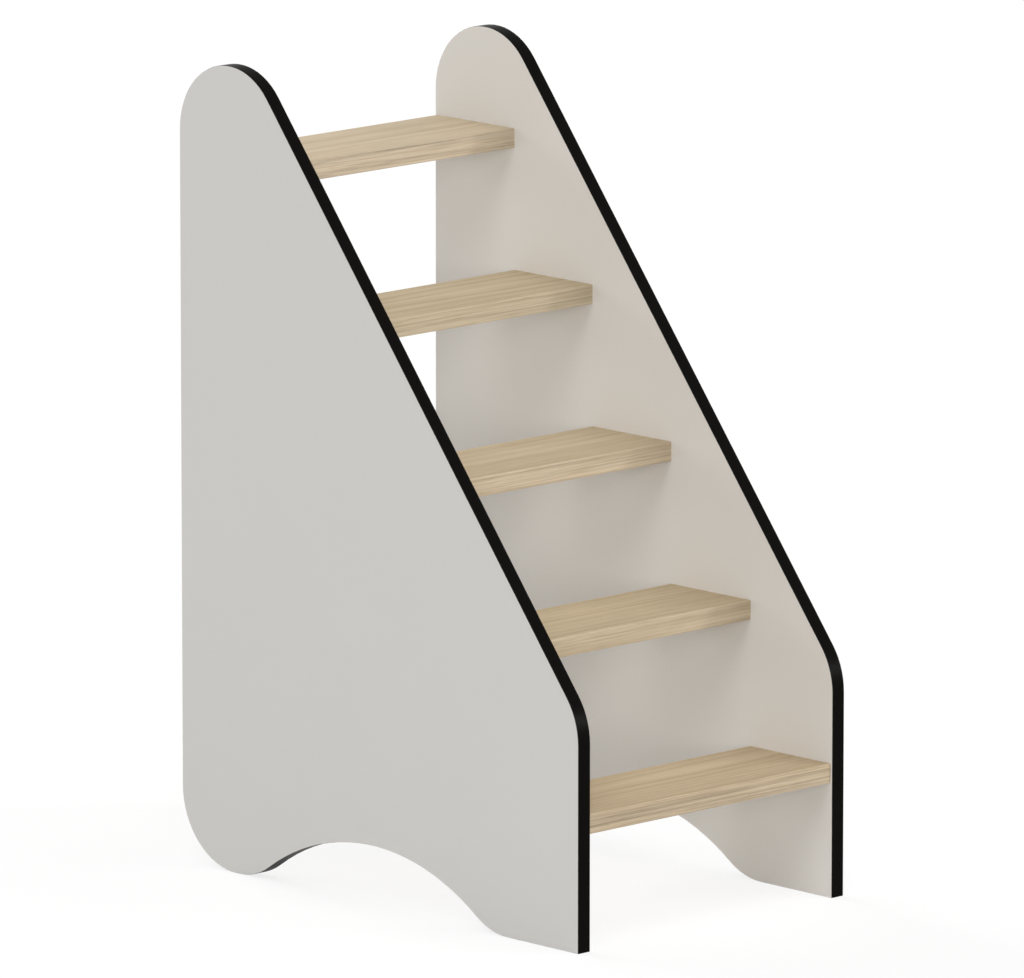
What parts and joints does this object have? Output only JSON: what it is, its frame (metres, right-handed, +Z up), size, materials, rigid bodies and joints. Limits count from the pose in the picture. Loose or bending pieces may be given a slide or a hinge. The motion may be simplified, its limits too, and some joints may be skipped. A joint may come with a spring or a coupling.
{
  "type": "child step stool",
  "caption": "Free-standing open-riser step stair for a child: wooden treads between shaped side panels with a sloped front, rounded crown and nose, and an arch between the feet.",
  "frame": {"origin": "on the floor, under the middle of the stair's width and depth", "axes": "+Z up, +Y to the back (the treads climb towards +Y), +X to the right of someone facing it"},
  "size_m": [0.406, 0.63, 0.904],
  "materials": {
    "panel_core": "dyed black fibreboard, satin cut edge",
    "panel_laminate": "matt pale warm grey laminate",
    "tread_oak": "pale oak, matt lacquer, grain along the tread",
    "dowel_beech": "plain beech",
    "bolt_steel": "zinc plated",
    "cam_zinc": "plain zinc casting"
  },
  "bodies": {
    "root": {"left_core": "panel_core", "left_outer_laminate": "panel_laminate", "left_inner_laminate": "panel_laminate", "right_core": "panel_core", "right_outer_laminate": "panel_laminate", "right_inner_laminate": "panel_laminate", "tread_1": "tread_oak", "tread_1_dowels": "dowel_beech", "tread_1_cam_bolts": "bolt_steel", "tread_1_cam_locks": "cam_zinc", "tread_2": "tread_oak", "tread_2_dowels": "dowel_beech", "tread_2_cam_bolts": "bolt_steel", "tread_2_cam_locks": "cam_zinc", "tread_3": "tread_oak", "tread_3_dowels": "dowel_beech", "tread_3_cam_bolts": "bolt_steel", "tread_3_cam_locks": "cam_zinc", "tread_4": "tread_oak", "tread_4_dowels": "dowel_beech", "tread_4_cam_bolts": "bolt_steel", "tread_4_cam_locks": "cam_zinc", "tread_5": "tread_oak", "tread_5_dowels": "dowel_beech", "tread_5_cam_bolts": "bolt_steel", "tread_5_cam_locks": "cam_zinc"}
  },
  "joints": []
}
